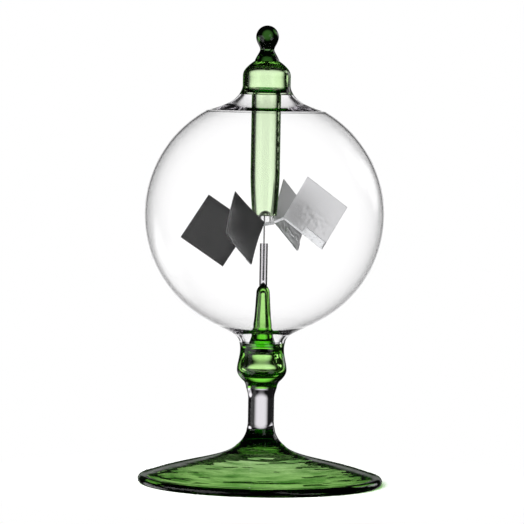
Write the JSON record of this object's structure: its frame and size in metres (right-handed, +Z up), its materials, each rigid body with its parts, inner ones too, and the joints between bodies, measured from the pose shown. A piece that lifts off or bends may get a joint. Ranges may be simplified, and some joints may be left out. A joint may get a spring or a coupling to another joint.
{
  "type": "crookes radiometer",
  "caption": "Light-driven vane wheel on a needle inside an evacuated glass bulb, on a coloured blown-glass stem and domed foot.",
  "frame": {"origin": "centre of the ring that the foot rests on, on the bulb's axis", "axes": "+Z up along the axis of the bulb; -Y towards the viewer of the picture, +X to the right"},
  "size_m": [0.1224, 0.1224, 0.2291],
  "materials": {
    "green_glass": "gloss",
    "clear_glass": "gloss",
    "needle_steel": "satin",
    "aluminium": "satin",
    "silvered_mica": "satin",
    "lamp_black": "matte"
  },
  "bodies": {
    "stand": {"foot": "green_glass", "stem": "clear_glass", "knop": "green_glass", "lower_neck": "clear_glass", "lower_seal_ring": "green_glass", "globe": "clear_glass", "upper_neck": "clear_glass", "upper_seal_ring": "green_glass", "cap": "green_glass", "finial": "green_glass", "pump_tip": "green_glass", "guard_tube": "green_glass", "spike": "green_glass", "glass_rod": "clear_glass", "needle": "needle_steel"},
    "wheel": {"bearing_cup": "clear_glass", "cup_collar": "aluminium", "arm_1": "aluminium", "arm_2": "aluminium", "arm_3": "aluminium", "arm_4": "aluminium", "vane_1": "silvered_mica", "vane_2": "silvered_mica", "vane_3": "silvered_mica", "vane_4": "silvered_mica", "soot_1": "lamp_black", "soot_2": "lamp_black", "soot_3": "lamp_black", "soot_4": "lamp_black"}
  },
  "joints": [
    {"name": "wheel_spin", "type": "hinge", "parent": "stand", "child": "wheel", "pos_m": [0, 0, 0.136], "axis": [0, 0, 1], "continuous": true}
  ]
}
